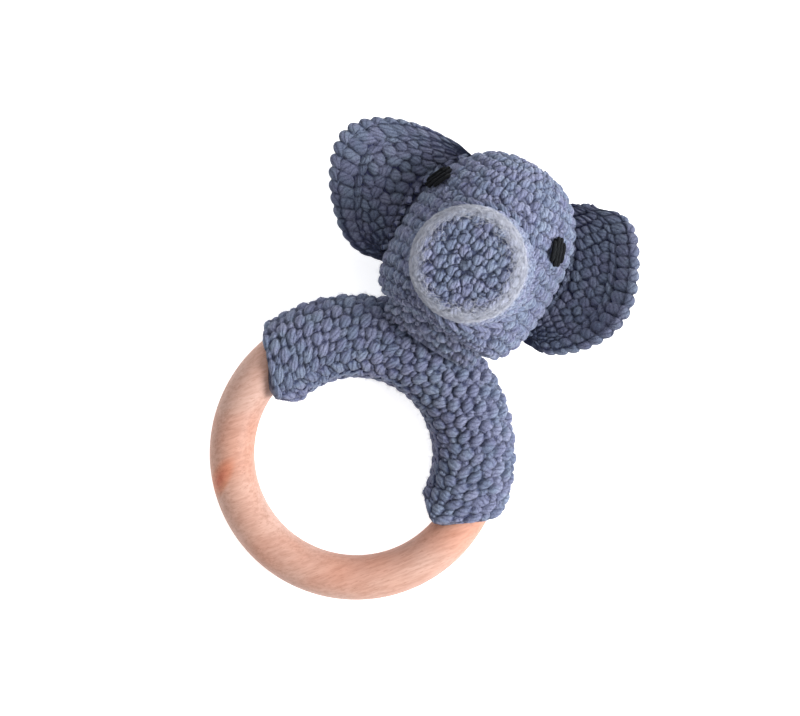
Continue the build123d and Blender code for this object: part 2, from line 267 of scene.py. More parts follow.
def packed(charts, count):
    """The relief of closely packed stitches at a number of points. A chart is the points' two places
    on the surface, their scales to mm, the turn after which the first place repeats or None, and the
    stitches: middle (two places), half length, half width, lean and height. The highest stitch at a
    point wins, and where two are as high there is a crevice. Returns the height in mm, how clear of
    a crevice it is, 0 to 1, a shade for each stitch, and the yarn map."""
    best, second = np.zeros(count), np.zeros(count)
    shade, run, across = np.full(count, 0.3), np.zeros(count), np.zeros(count)
    for a, b, scale_a, scale_b, period, stitches in charts:
        for mid_a, mid_b, long, wide, lean, tall in stitches:
            gap = a - mid_a
            if period:
                gap = (gap + period / 2) % period - period / 2
            ds, dt = gap * scale_a, (b - mid_b) * scale_b
            near = np.flatnonzero((np.abs(ds) < long) & (np.abs(dt) < long))
            x = ds[near] * math.cos(lean) + dt[near] * math.sin(lean)
            y = dt[near] * math.cos(lean) - ds[near] * math.sin(lean)
            round_off = 1 - np.abs(x / long) ** 2.4 - np.abs(y / wide) ** 2.4
            high = tall * np.maximum(round_off, 0) ** 0.5
            wins = high > best[near]
            second[near] = np.where(wins, best[near], np.maximum(second[near], high))
            top = near[wins]
            best[top] = high[wins]
            shade[top] = rng.uniform(0, 1)
            run[top] = x[wins]
            across[top] = np.arcsin(np.clip(y[wins] / wide, -1, 1)) / (2 * np.pi)
    # where no stitch lies, the clearness of 0.3 later paints the point dark as shade
    clear = np.where(best > 0, np.clip((best - second) / CREVICE_WIDTH, 0, 1), 0.3)
    high = best - CREVICE_DEPTH * (1 - clear) + rng.normal(0, FIBRE_ROUGHNESS, count)
    return high, clear, shade, np.stack([run, across], 1)


def curve_through(points, shares):
    """Points at shares along a quadratic curve through three points (..., 3 points, 3)."""
    t = shares[:, None]
    w = np.stack([(1 - t) * (1 - 2 * t), 4 * t * (1 - t), t * (2 * t - 1)], 0)[:, :, 0]
    return np.einsum("pm,...pc->...mc", w, points)


def add_whip(yarn, place, cells, points, thick):
    """Lays a short thick stitch in each cell: middle u, middle v, width and height. place(u, v, lift)
    gives points and normals. The stitch is three points (across, along, lift) and a radius, all in
    cells."""
    shares = 0.5 - 0.5 * np.cos(np.pi * np.linspace(0, 1, 8))
    swell = 0.34 + 0.66 * np.sin(np.pi * shares) ** 0.5
    tint = rng.uniform(0, 1, len(cells))
    # a cell's size is the side of a square with its area
    mid_u, mid_v, wide, high = cells.T
    level = np.zeros(len(cells))
    across = place(mid_u + wide / 2, mid_v, level)[0] - place(mid_u - wide / 2, mid_v, level)[0]
    along = place(mid_u, mid_v + high / 2, level)[0] - place(mid_u, mid_v - high / 2, level)[0]
    size = np.sqrt(np.linalg.norm(np.cross(across, along), axis=1))[:, None]
    local = curve_through(np.array(points, float), shares)
    local = local[None] + rng.normal(0, 0.05, (len(cells), 1, 3)) * [1, 1, 0.5]
    u = cells[:, None, 0] + local[..., 0] * cells[:, None, 2]
    v = cells[:, None, 1] + local[..., 1] * cells[:, None, 3]
    path, normal = place(u, v, local[..., 2] * size)
    radius = thick * size * swell[None] * rng.uniform(0.93, 1.07, (len(cells), 1))
    shade = np.clip(tint + rng.normal(0, 0.12, len(cells)), 0, 1)
    add_rope(yarn, path, normal, radius, shade, flat=0.8)


def add_rope(yarn, path, normal, radius, tint=None, flat=0.85):
    """One thick strand of yarn along each path."""
    tint = rng.uniform(0, 1, len(path)) if tint is None else tint
    yarn.strands(path, normal, radius, segs=9, flat=flat, tint=tint)


def add_fuzz(yarn, points, normals, count):
    """Fine loose fibres that stand off the yarn, from randomly chosen points."""
    pick = rng.integers(0, len(points), count)
    root, out = points[pick], normals[pick]
    bend = unit(rng.normal(0, 1, (count, 3)))
    lean = unit(out + 0.75 * bend)
    reach = rng.uniform(0.5, 1.5, (count, 1))
    curl = unit(lean + 0.9 * unit(rng.normal(0, 1, (count, 3))))
    tip = root + (lean * 0.6 + curl * 0.5) * reach
    path = np.stack([root - 0.2 * out, root + lean * reach * 0.55, tip], 1)
    radius = np.broadcast_to(np.array([1.0, 0.8, 0.35]) * 0.022, (count, 3))
    side = np.broadcast_to(bend[:, None], path.shape)
    yarn.strands(path, side, radius, segs=3, depth=0.0, pale=0.35)


# ---- surfaces that the stitches lie on: each gives points at (u, v), lifted off it ----
class Turned:
    """A surface turned about an axis. u is the turn about the axis, v the way along the profile."""

    def __init__(self, radius, height, origin, axis, across):
        self.radius, self.height = np.array(radius, float), np.array(height, float)
        step = np.hypot(np.diff(self.radius), np.diff(self.height))
        self.v = np.concatenate([[0], np.cumsum(step)])
        slope_r, slope_h = np.gradient(self.radius, self.v), np.gradient(self.height, self.v)
        self.out_r, self.out_h = -slope_h, slope_r
        self.origin, self.axis, self.across = (np.array(x, float) for x in (origin, axis, across))
        self.front = np.cross(self.across, self.axis)
        self.puff = None

    def radius_at(self, v):
        return np.interp(v, self.v, self.radius)

    def __call__(self, u, v, lift):
        columns = (self.radius, self.height, self.out_r, self.out_h)
        r, h, nr, nh = (np.interp(v, self.v, column) for column in columns)
        out = self.across * np.sin(u)[..., None] + self.front * np.cos(u)[..., None]
        normal = unit(out * nr[..., None] + self.axis * nh[..., None])
        point = self.origin + self.axis * h[..., None] + out * r[..., None]
        if self.puff is not None:
            point = point + self.puffed(u, v)
        return point + normal * np.asarray(lift)[..., None], normal

    def puffed(self, u, v):
        """How far the cloth has swelled at a point, read between the points of the puff grid."""
        rows, columns = self.puff.shape[:2]
        i = np.clip(v / self.v[-1] * (rows - 1), 0, rows - 1.001)
        j = (u / (2 * np.pi) % 1) * columns
        i0, j0 = i.astype(int), j.astype(int) % columns
        a, b, j1 = (i - i0)[..., None], (j % 1)[..., None], (j0 + 1) % columns
        low = self.puff[i0, j0] * (1 - b) + self.puff[i0, j1] * b
        high = self.puff[i0 + 1, j0] * (1 - b) + self.puff[i0 + 1, j1] * b
        return low * (1 - a) + high * a

    def places(self, rows, columns, first=0.0):
        """Evenly spaced places on the surface, as grids of u and v."""
        turns = np.arange(columns) * 2 * np.pi / columns
        v, u = np.meshgrid(np.linspace(first, self.v[-1], rows), turns, indexing="ij")
        return u, v

    def grid(self, rows, columns, lift=0.0, first=0.0):
        u, v = self.places(rows, columns, first)
        return self(u, v, np.full(u.shape, lift))[0]


def spiral(surface, first, last, lean=0.3):
    """Middles of the stitches (u, v) of a spiral of crochet, from one round to another."""
    middles = []
    for i in range(first, last):
        v = (i + 0.5) * PITCH
        count = max(5, round(2 * np.pi * surface.radius_at(v) / PITCH))
        j = np.arange(count)
        u = (j + lean * i) * 2 * np.pi / count
        run = v + (j / count - 0.5) * PITCH * (0.8 if i else 0.0)
        middles.append(np.stack([u, run], 1))
    return np.concatenate(middles)


def superellipse(steps, power):
    turn = np.linspace(np.pi / 2, 0, steps)
    return np.cos(turn) ** (2 / power), np.sin(turn) ** (2 / power)


reach, rise = superellipse(60, HEAD_POWER)
head_r = np.concatenate([HEAD_R * reach, (HEAD_FOOT_R + (HEAD_R - HEAD_FOOT_R) * reach)[::-1][1:]])
head_h = np.concatenate(
    [HEAD_WIDE + (HEAD_TOP - HEAD_WIDE) * rise, (HEAD_WIDE - (HEAD_WIDE - HEAD_FOOT) * rise)[::-1][1:]]
)
sole_r = np.linspace(HEAD_FOOT_R, 0.3, 14)[1:]
sole_h = HEAD_FOOT - 0.5 * (1 - (sole_r / HEAD_FOOT_R) ** 2)
head = Turned(
    np.concatenate([head_r, sole_r]), np.concatenate([head_h, sole_h]), (0, 0, HEAD_Z), (0, 1, 0), (1, 0, 0)
)
head_rim_v = head.v[len(head_r) - 1]


def head_radius(height):
    """The head's radius at a height above the ring's centre."""
    return np.interp(height, head_h[::-1], head_r[::-1])


tilt = unit(np.array([-math.sin(TRUNK_LEAN), -math.sin(TRUNK_DROOP), math.cos(TRUNK_DROOP)]))
trunk_origin = np.array([0, TRUNK_Y, TRUNK_Z])
corner = np.linspace(0, np.pi / 2, 12)
corner_r = TRUNK_TIP_R - TRUNK_EDGE_R + TRUNK_EDGE_R * np.sin(corner)
corner_h = TRUNK_LENGTH - TRUNK_EDGE_R + TRUNK_EDGE_R * np.cos(corner)
trunk_r = np.concatenate([[0], corner_r, [TRUNK_BASE_R + 0.3]])
trunk_h = np.concatenate([[TRUNK_LENGTH + 0.6], corner_h, [-TRUNK_SUNK]])
trunk = Turned(trunk_r, trunk_h, trunk_origin, tilt, unit(np.array([tilt[2], 0, -tilt[0]])))


def from_trunk_axis(points):
    """Distance of points from the trunk's axis."""
    gap = points - trunk_origin
    return np.linalg.norm(gap - (gap @ tilt)[..., None] * tilt, axis=-1)


class Sleeve:
    """The oval crocheted tube. u runs from its right end, 0, to its left end, 1, and v in mm round
    its section from the outside, over the top, to the inside and back underneath."""

    def __init__(self):
        turn = np.linspace(0, 2 * np.pi, 400)
        x, z = SLEEVE_HALF_WIDTH * np.cos(turn), SLEEVE_HALF_HEIGHT * np.sin(turn)
        self.turn = turn
        self.v = np.concatenate([[0], np.cumsum(np.hypot(np.diff(x), np.diff(z)))])
        self.ends = (SLEEVE_RHO, np.radians(SLEEVE_FIRST), np.radians(SLEEVE_LAST))

    def section(self, v):
        turn = np.interp(v % self.v[-1], self.v, self.turn)
        nx, nz = np.cos(turn) / SLEEVE_HALF_WIDTH, np.sin(turn) / SLEEVE_HALF_HEIGHT
        size = np.hypot(nx, nz)
        return SLEEVE_HALF_WIDTH * np.cos(turn), SLEEVE_HALF_HEIGHT * np.sin(turn), nx / size, nz / size

    def __call__(self, u, v, lift):
        x, z, nx, nz = self.section(v)
        rho = SLEEVE_MIDDLE_R + x + nx * lift
        spot = SLEEVE_MIDDLE_R + x
        first, last = (np.interp(spot, self.ends[0], end) for end in self.ends[1:])
        angle = first + (last - first) * u
        out = np.stack([np.cos(angle), np.sin(angle), 0 * angle], -1)
        up = np.array([0.0, 0, 1])
        point = out * rho[..., None] + up * (RING_Z + z + nz * lift)[..., None]
        return point, out * nx[..., None] + up * nz[..., None]


sleeve = Sleeve()


class Ear:
    """One ear. u runs along the rim from the crown to the foot, 0 to 1, v from the root to the rim,
    0 to 1, and face is 1 for the front and -1 for the back."""

    def __init__(self, side):
        self.sign = 1 if side == "right" else -1
        self.sweep = math.radians(EAR_SWEEP[side])
        self.rim = smooth_line(np.array(EAR_RIM[side]), 200)
        heights = np.linspace(*EAR_ROOT[side], 200)
        # the root is where the ear's plane reaches its depth under the head's surface
        start = np.array([EAR_HINGE_X - EAR_INSET, EAR_Z - HEAD_Z])
        along = start @ [math.cos(self.sweep), math.sin(self.sweep)]
        inside = along**2 - start @ start + (head_radius(heights) - EAR_ROOT_DEPTH) ** 2
        self.root = np.stack([np.sqrt(np.maximum(inside, 0.0)) - along - EAR_INSET, heights], 1)
        self.cup, self.wave = EAR_CUP[side], EAR_WAVE[side]

    def flat(self, u, v):
        share = np.linspace(0, 1, 200)
        u = np.clip(u, -0.02, 1.02)
        rim = np.stack([np.interp(u, share, self.rim[:, k]) for k in (0, 1)], -1)
        root = np.stack([np.interp(u, share, self.root[:, k]) for k in (0, 1)], -1)
        return root + (rim - root) * v[..., None]

    def middle_face(self, u, v):
        p = self.flat(u, v)
        out = p[..., 0] + EAR_INSET
        bow = self.cup * np.maximum(out, 0) ** 2 + self.wave * np.sin(u * 7.0 + 0.6) * v**2
        x = EAR_HINGE_X - EAR_INSET + out * math.cos(self.sweep) - bow * math.sin(self.sweep)
        z = EAR_Z + out * math.sin(self.sweep) + bow * math.cos(self.sweep)
        return np.stack([self.sign * x, p[..., 1], z], -1)

    def __call__(self, u, v, lift, face=1):
        step = 0.01
        along_u = self.middle_face(u + step, v) - self.middle_face(u - step, v)
        along_v = self.middle_face(u, v + step) - self.middle_face(u, v - step)
        normal = unit(np.cross(along_u, along_v)) * self.sign * face
        return self.middle_face(u, v) + normal * np.asarray(lift)[..., None], normal


def smooth_line(points, count):
    """A smooth line through points, evenly spaced along it."""
    knots = np.arange(len(points), dtype=float)
    fine = np.linspace(0, len(points) - 1, 600)
    i = np.clip(fine.astype(int), 0, len(points) - 2)
    t = (fine - i)[:, None]
    slope = np.gradient(points, axis=0)
    a, b, ma, mb = points[i], points[i + 1], slope[i], slope[i + 1]
    line = (2 * t**3 - 3 * t**2 + 1) * a + (t**3 - 2 * t**2 + t) * ma
    line = line + (3 * t**2 - 2 * t**3) * b + (t**3 - t**2) * mb
    run = np.concatenate([[0], np.cumsum(np.linalg.norm(np.diff(line, axis=0), axis=1))])
    even = np.linspace(0, run[-1], count)
    return np.stack([np.interp(even, run, line[:, k]) for k in (0, 1)], 1)


# ---- materials ----
class Nodes:
    """A material's node tree, with short calls to add and join nodes."""

    def __init__(self, name):
        self.material = bpy.data.materials.new(name)
        self.material.use_nodes = True
        self.tree = self.material.node_tree
        self.tree.nodes.clear()
        self.shader = self.add("ShaderNodeBsdfPrincipled")
        out = self.add("ShaderNodeOutputMaterial")
        self.join(self.shader.outputs[0], out.inputs["Surface"])

    def add(self, kind, inputs=(), **settings):
        node = self.tree.nodes.new(kind)
        for key, value in settings.items():
            setattr(node, key, value)
        for key, value in dict(inputs).items():
            if isinstance(value, bpy.types.NodeSocket):
                self.join(value, node.inputs[key])
            else:
                node.inputs[key].default_value = value
        return node

    def join(self, a, b):
        self.tree.links.new(a, b)

    def math(self, kind, a, b=0.0, clamp=False):
        return self.add("ShaderNodeMath", {0: a, 1: b}, operation=kind, use_clamp=clamp).outputs[0]

    def times(self, a, b):
        return self.math("MULTIPLY", a, b)

    def plus(self, a, b):
        return self.math("ADD", a, b)

    def between(self, value, low, high):
        spread = {"Value": value, "To Min": low, "To Max": high}
        return self.add("ShaderNodeMapRange", spread).outputs[0]

    def ramp(self, value, stops):
        node = self.add("ShaderNodeValToRGB", {0: value})
        band = node.color_ramp
        while len(band.elements) < len(stops):
            band.elements.new(0.5)
        for element, (place, colour) in zip(band.elements, stops):
            element.position = place
            element.color = (*colour, 1.0)
        return node.outputs[0]

    def dyed(self, colour, value, stops, share=1.0):
        """The colour multiplied by a ramp."""
        return self.mix(share, colour, self.ramp(value, stops), "MULTIPLY")

    def mix(self, share, a, b, kind="MIX"):
        node = self.add("ShaderNodeMix", data_type="RGBA", blend_type=kind)
        for socket, value in ((node.inputs[0], share), (node.inputs[6], a), (node.inputs[7], b)):
            if isinstance(value, bpy.types.NodeSocket):
                self.join(value, socket)
            else:
                socket.default_value = value if isinstance(value, float) else (*value, 1.0)
        return node.outputs[2]

    def noise(self, vector, scale, detail, rough):
        spot = {"Vector": vector, "Scale": scale, "Detail": detail, "Roughness": rough}
        return self.add("ShaderNodeTexNoise", spot).outputs[0]

    def attribute(self, name):
        return self.add("ShaderNodeAttribute", attribute_name=name).outputs["Fac"]

    def mapped(self, vector, **settings):
        return self.add("ShaderNodeMapping", {"Vector": vector, **settings}).outputs[0]

    def place(self, scale=(1, 1, 1)):
        return self.mapped(self.add("ShaderNodeTexCoord").outputs["Object"], Scale=scale)

    def bump(self, height, distance, strength=1.0, normal=None):
        inputs = {"Height": height, "Distance": distance, "Strength": strength}
        if normal is not None:
            inputs["Normal"] = normal
        return self.add("ShaderNodeBump", inputs).outputs[0]

    def set(self, **sockets):
        for key, value in sockets.items():
            socket = self.shader.inputs[key.replace("_", " ")]
            if isinstance(value, bpy.types.NodeSocket):
                self.join(value, socket)
            else:
                socket.default_value = value
        return self.material


def yarn_material(name, tones, pale, sheen=0.5):
    """Soft plied cotton yarn. The yarn map runs along each strand, 0.1 to a millimetre, and once
    round it: rounded plies wind round the strand, with fine fibres along them. Shades change from
    stitch to stitch and along the yarn."""
    n = Nodes(name)
    where = n.place()
    strand = n.add("ShaderNodeUVMap", uv_map="yarn").outputs[0]
    run, turn, _ = n.add("ShaderNodeSeparateXYZ", {"Vector": strand}).outputs
    winding = n.plus(n.times(turn, 6.0), n.times(run, 6.5))
    winding = n.plus(winding, n.times(n.noise(where, 420.0, 2.0, 0.5), 1.3))
    winding = n.plus(winding, n.times(n.attribute("tint"), 7.0))
    share = n.math("SUBTRACT", n.times(n.math("FRACT", winding), 2.0), 1.0)
    ply = n.math("SQRT", n.math("SUBTRACT", 1.0, n.times(share, share), clamp=True))
    along_ply = n.add("ShaderNodeCombineXYZ", {"X": n.times(winding, 2.8), "Y": n.times(run, 3.0)})
    fibres = n.noise(along_ply.outputs[0], 3.0, 3.0, 0.65)
    patches = n.noise(where, 170.0, 2.0, 0.5)
    tufts = n.noise(where, 1300.0, 2.0, 0.6)
    fluff = n.noise(where, 3400.0, 2.0, 0.6)
    shade = n.plus(n.times(n.attribute("tint"), 0.30), n.times(patches, 0.30))
    shade = n.plus(shade, n.times(tufts, 0.40))
    colour = n.ramp(shade, list(zip((0.25, 0.5, 0.72), tones)))
    groove = n.plus(n.times(ply, 0.48), n.times(fibres, 0.52))
    # painted shade in the grooves between plies and a painted highlight on their crests, with the fibres' own
    # tone mixed in
    painted_ply_shade = [(0.28, (0.58, 0.59, 0.68)), (0.50, (0.93, 0.93, 0.95)), (0.75, (1.20, 1.20, 1.17))]
    colour = n.dyed(colour, groove, painted_ply_shade)
    dye = n.noise(where, 230.0, 1.0, 0.4)
    colour = n.dyed(colour, dye, [(0.40, (0.955, 1.02, 0.995)), (0.60, (1.03, 0.985, 1.02))])
    colour = n.dyed(colour, fluff, [(0.35, (0.74, 0.74, 0.78)), (0.65, (1.20, 1.20, 1.17))])
    colour = n.mix(n.attribute("pale"), colour, pale)
    # painted shade in the crevices between stitches and under strands, with a painted highlight on the clear tops
    painted_crevice_shade = [(0.62, (0.20, 0.22, 0.34)), (0.84, (0.86, 0.86, 0.89)), (0.97, (1.06, 1.06, 1.04))]
    colour = n.dyed(colour, n.attribute("proud"), painted_crevice_shade)
    wound = n.bump(n.plus(n.times(ply, 0.75), n.times(fibres, 0.30)), 0.00030, 0.9)
    fine = n.plus(n.times(tufts, 0.6), n.times(fluff, 0.5))
    return n.set(
        Base_Color=colour, Roughness=n.between(fluff, 0.78, 0.98), Normal=n.bump(fine, 0.00034, 0.9, wound),
        Sheen_Weight=sheen, Sheen_Roughness=0.45, Sheen_Tint=(*BLUE_SHEEN, 1.0), Specular_IOR_Level=0.2,
    )


def fluff_material(name, dark, light):
    """Fine pale fibres of felted cotton, lighter and darker from tuft to tuft. Their paleness is partly a painted
    highlight on the trunk's rim.
    """
    n = Nodes(name)
    tufts = n.noise(n.place(), 600.0, 2.0, 0.6)
    tone = n.ramp(tufts, [(0.3, dark), (0.7, light)])
    rough = n.between(tufts, 0.8, 0.95)
    return n.set(Base_Color=tone, Roughness=rough, Sheen_Weight=0.5, Specular_IOR_Level=0.2)


def fibre_material(name, noise, dark, light, depth, **sockets):
    """Matted fibres: the inner face of the crochet, seen between the stitches, whose dark blue is painted shade,
    or wadding.
    """
    n = Nodes(name)
    tufts = n.noise(n.place(), *noise)
    tone = n.ramp(tufts, [(0.3, dark), (0.7, light)])
    return n.set(Base_Color=tone, Roughness=0.95, Normal=n.bump(tufts, depth), **sockets)


WHITE = (1.0, 1.0, 1.0)
# a reddish fleck in the wood, across and up from the ring's centre
KNOT = (-24.2, -22.3)
KNOT_TURN = math.atan2(KNOT[1], KNOT[0])


def beech_material(name, knot):
    """Pale oiled beech: pinkish heartwood, fine grain along the board, short dark pores and rays,
    and a reddish fleck at the knot."""
    n = Nodes(name)
    turned = n.mapped(n.place(), Rotation=(0.15, 0.1, 0.65))
    board = n.mapped(turned, Scale=(1.0, 0.10, 1.0))
    broad = n.noise(board, 130.0, 3.0, 0.55)
    fine = n.noise(board, 1500.0, 4.0, 0.6)
    pores = n.noise(n.mapped(turned, Scale=(1.0, 0.16, 1.0)), 3800.0, 1.0, 0.4)
    flush = n.noise(turned, 42.0, 2.0, 0.5)
    heart = [(0.3, (0.515, 0.305, 0.245)), (0.5, (0.545, 0.348, 0.287)), (0.72, (0.61, 0.415, 0.355))]
    colour = n.ramp(broad, heart)
    colour = n.dyed(colour, fine, [(0.35, (0.86, 0.80, 0.76)), (0.6, (1.04, 1.03, 1.02))])
    colour = n.dyed(colour, pores, [(0.30, (0.62, 0.47, 0.38)), (0.38, WHITE)], 0.35)
    colour = n.dyed(colour, flush, [(0.42, WHITE), (0.70, (1.03, 0.84, 0.74))])
    beside = n.add("ShaderNodeVectorMath", {0: n.place(), 1: knot}, operation="SUBTRACT").outputs[0]
    ragged = n.mapped(beside, Rotation=(0, 0, -KNOT_TURN), Scale=(1.0, 0.38, 0.6))
    far = n.add("ShaderNodeVectorMath", {0: ragged}, operation="LENGTH").outputs["Value"]
    far = n.plus(n.times(far, 260.0), n.times(flush, 0.5))
    colour = n.dyed(colour, far, [(0.30, (0.98, 0.52, 0.42)), (0.75, (1.04, 0.80, 0.68)), (1.0, WHITE)])
    height = n.plus(n.times(fine, 0.4), pores)
    return n.set(
        Base_Color=colour, Roughness=n.between(fine, 0.42, 0.62), Normal=n.bump(height, 0.00006, 0.5),
        Coat_Weight=0.04, Coat_Roughness=0.5, Specular_IOR_Level=0.25,
    )


def plastic_material(name, colour):
    """Moulded plastic with a faint flow pattern and fine scratches."""
    n = Nodes(name)
    flow = n.noise(n.place(), 60.0, 2.0, 0.4)
    scratch = n.noise(n.place((1.0, 0.05, 1.0)), 1800.0, 2.0, 0.5)
    tone = n.ramp(flow, [(0.3, tuple(0.85 * c for c in colour)), (0.7, colour)])
    rough = n.between(scratch, 0.28, 0.5)
    return n.set(Base_Color=tone, Roughness=rough, Normal=n.bump(scratch, 0.00004, 0.4))


BLUE = ((0.124, 0.141, 0.233), (0.169, 0.193, 0.299), (0.220, 0.247, 0.357))
# the pale blue that paled yarn is mixed towards; on the trunk's rim it partly paints light
BLUE_PALE = (0.47, 0.495, 0.59)
BLUE_SHEEN = (0.52, 0.54, 0.63)
# painted shade: the ears' yarn is a darker copy of the blue, at 0.65, standing for the shade the ears lie in
# painted shade: the sleeve's yarn is a darker copy of the blue, at 0.91, standing for the lower light on the
# sleeve
EAR_BLUE_SHADED, SLEEVE_BLUE_SHADED = ([tuple(share * c for c in tone) for tone in BLUE] for share in (0.65, 0.91))
BLACK = ((0.003, 0.004, 0.005), (0.006, 0.007, 0.009), (0.010, 0.011, 0.014))
blue = yarn_material("blue_cotton", BLUE, BLUE_PALE)
ear_blue_shaded = yarn_material("ear_cotton_shaded", EAR_BLUE_SHADED, BLUE_PALE, 0.25)
sleeve_blue_shaded = yarn_material("sleeve_cotton_shaded", SLEEVE_BLUE_SHADED, BLUE_PALE, 0.40)
black = yarn_material("black_cotton", BLACK, (0.05, 0.05, 0.06), 0.03)
fluff = fluff_material("felted_cotton_painted_light", (0.37, 0.39, 0.48), (0.56, 0.58, 0.66))
# painted shade: the core's blue is far darker than the yarn, standing for the shade seen between stitches
CORE_PAINTED_SHADE = (0.045, 0.050, 0.115)
core = fibre_material(
    "blue_core_painted_shade", (420.0, 3.0, 0.6), tuple(0.6 * c for c in CORE_PAINTED_SHADE), CORE_PAINTED_SHADE, 0.0008, Specular_IOR_Level=0.1
)
wadding = fibre_material(
    "fibre_wadding", (300.0, 4.0, 0.7), (0.62, 0.62, 0.60), (0.86, 0.86, 0.84), 0.0015, Sheen_Weight=0.4
)
knot_spot = Vector((KNOT[0] * MM, (RING_Y + KNOT[1]) * MM, (RING_Z + 4.0) * MM))
beech = beech_material("beech_wood", frame["nodes"]["wooden_ring"].matrix_world.inverted() @ knot_spot)
FINISHES = {
    "beech": beech,
    "wadding": wadding,
    "capsule_plastic": plastic_material("capsule_shell", (0.80, 0.82, 0.84)),
    "bead_plastic": plastic_material("bead_shell", (0.75, 0.20, 0.12)),
}


# ---- stitches ----
# three points of a whip stitch (across, along and lift) and its radius, in cells
WHIP = ([(-0.62, -0.40, -0.12), (0.0, 0.0, 0.08), (0.62, 0.40, -0.12)], 0.30)
# packed stitches: middle, half length, half width, lean and height, in mm
SINGLE_CROCHET = [
    (-0.80, 0.1, 1.88, 1.16, 1.95, 1.15), (0.85, -0.1, 1.68, 1.06, 1.15, 1.0), (0.05, 1.7, 1.35, 0.85, 0.2, 0.70),
]
SLEEVE_STITCH = [
    (-0.85, 0.0, 2.10, 1.48, 1.95, 1.25), (1.30, 0.1, 1.15, 1.00, 1.3, 0.95), (1.70, 1.55, 1.30, 0.72, 2.2, 0.80),
]
DISC_STITCH = [
    (-0.55, 0.0, 1.75, 1.18, 1.95, 0.90), (1.05, 0.1, 0.95, 0.80, 1.2, 0.78), (1.25, 1.3, 1.00, 0.55, 2.3, 0.65),
]


def spread(middles, pattern, scale, jitter=0.12):
    """Stitches of a pattern at middles (u, v), with their places turned from mm by the scale of u."""
    stitches = []
    for (u, v), mm in zip(middles, scale):
        for x, y, long, wide, lean, tall in pattern:
            size, dx, dy = rng.uniform(0.92, 1.08), *rng.normal(0, jitter, 2)
            lean_now, tall_now = lean + rng.normal(0, 0.2), tall * rng.uniform(0.9, 1.08)
            place = (u + (x + dx) / mm, v + y + dy)
            stitches.append((*place, long * size, wide * size, lean_now, tall_now))
    return stitches


# ---- padded head: cloth swelled by pressure, held where the neck, the trunk and the ears are sewn ----
def swell(grid, held, scale=10.0, pressure=4.0, cap=1.6):
    """Swells a closed grid of cloth, at scale times its size, and returns how far it moved, in mm."""
    rows, columns, _ = grid.shape
    points = grid.reshape(-1, 3) * MM * scale
    here = np.arange(columns)
    there = (here + 1) % columns
    row = np.arange(rows - 1)[:, None] * columns
    quads = np.stack([row + here, row + columns + here, row + columns + there, row + there], -1)
    faces = [tuple(f) for f in quads.reshape(-1, 4).tolist()]
    faces += [tuple(here.tolist()), tuple(((rows - 1) * columns + here[::-1]).tolist())]
    mesh = bpy.data.meshes.new("swell")
    mesh.from_pydata(points.tolist(), [], faces)
    cloth_piece = linked("swell", mesh)
    pins = cloth_piece.vertex_groups.new(name="sewn")
    for index in np.flatnonzero(held.reshape(-1)).tolist():
        pins.add([index], 1.0, "REPLACE")
    modifier = cloth_piece.modifiers.new("cloth", "CLOTH")
    settings = modifier.settings
    settings.quality = 5
    settings.vertex_group_mass = "sewn"
    settings.use_pressure = True
    settings.uniform_pressure_force = pressure
    settings.tension_stiffness = settings.compression_stiffness = 8.0
    settings.shear_stiffness = 3.0
    settings.bending_stiffness = 0.3
    settings.effector_weights.gravity = 0.0
    modifier.point_cache.frame_start, modifier.point_cache.frame_end = 1, 20
    for step in range(1, 21):
        bpy.context.scene.frame_set(step)
    ready = cloth_piece.evaluated_get(bpy.context.evaluated_depsgraph_get())
    moved = np.empty(len(points) * 3, np.float32)
    ready.data.vertices.foreach_get("co", moved)
    move = (moved.reshape(-1, 3) - points) / (MM * scale)
    size = np.linalg.norm(move, axis=1, keepdims=True)
    move *= np.minimum(1.0, cap / np.maximum(size, 1e-9))
    bpy.data.objects.remove(cloth_piece)
    bpy.data.meshes.remove(mesh)
    bpy.context.scene.frame_set(1)
    return move.reshape(grid.shape)


PUFF_GRID = (40, 72)
start, spots = head.grid(*PUFF_GRID, -0.9), head.grid(*PUFF_GRID)
azimuth = np.abs((np.arange(PUFF_GRID[1]) * 360 / PUFF_GRID[1] + 180) % 360 - 180)
by_ear = (azimuth > 92) & (azimuth < 100)
by_ear = by_ear & (spots[..., 1] > EAR_ROOT["left"][1]) & (spots[..., 1] < EAR_ROOT["left"][0])
by_trunk = (from_trunk_axis(spots) < TRUNK_BASE_R + 0.5) & (spots[..., 2] > HEAD_Z)
by_neck = head.places(*PUFF_GRID)[1] > head_rim_v - 3.0
head.puff = start + swell(start, by_ear | by_trunk | by_neck) - spots


# ---- head ----
def core_piece(name, grid, closed=False):
    """The inner face of a piece's crochet, which stands for its cloth. Its dark blue is painted shade between the
    stitches.
    """
    yarn = Yarn()
    yarn.surface(grid, closed_v=closed)
    return yarn.build(name, core)


head_body = core_piece("head_body", head.grid(90, 120, CORE_LIFT, 0.25))
FIRST_V = 0.1       # where a turned grid starts, just off its pole


def turned_relief(surface, rows, columns, stitches, more=()):
    """A grid over a turned surface raised by packed stitches, with what Yarn.relief needs."""
    u, v = surface.places(rows, columns, FIRST_V)
    scale = np.maximum(surface.radius_at(v), 0.3)
    charts = [(u.ravel(), v.ravel(), scale.ravel(), 1.0, 2 * np.pi, stitches), *more]
    high, clear, shade, yarn_map = packed(charts, rows * columns)
    high = high.reshape(rows, columns)
    points, normals = surface(u, v, BASE_LIFT + high)
    return u, v, points, normals, clear.reshape(rows, columns), shade, yarn_map


middles = spiral(head, 0, int(head.v[-1] / PITCH))
stitches = spread(middles, SINGLE_CROCHET, np.maximum(head.radius_at(middles[:, 1]), 0.8), 0.2)
yarn = Yarn()
u, v, points, normals, clear, shade, yarn_map = turned_relief(head, 236, 320, stitches)
yarn.relief(points, shade, clear, 0.0, yarn_map)
add_fuzz(yarn, points.reshape(-1, 3), normals.reshape(-1, 3), 3000)
head_crochet = yarn.build("head_crochet", blue)

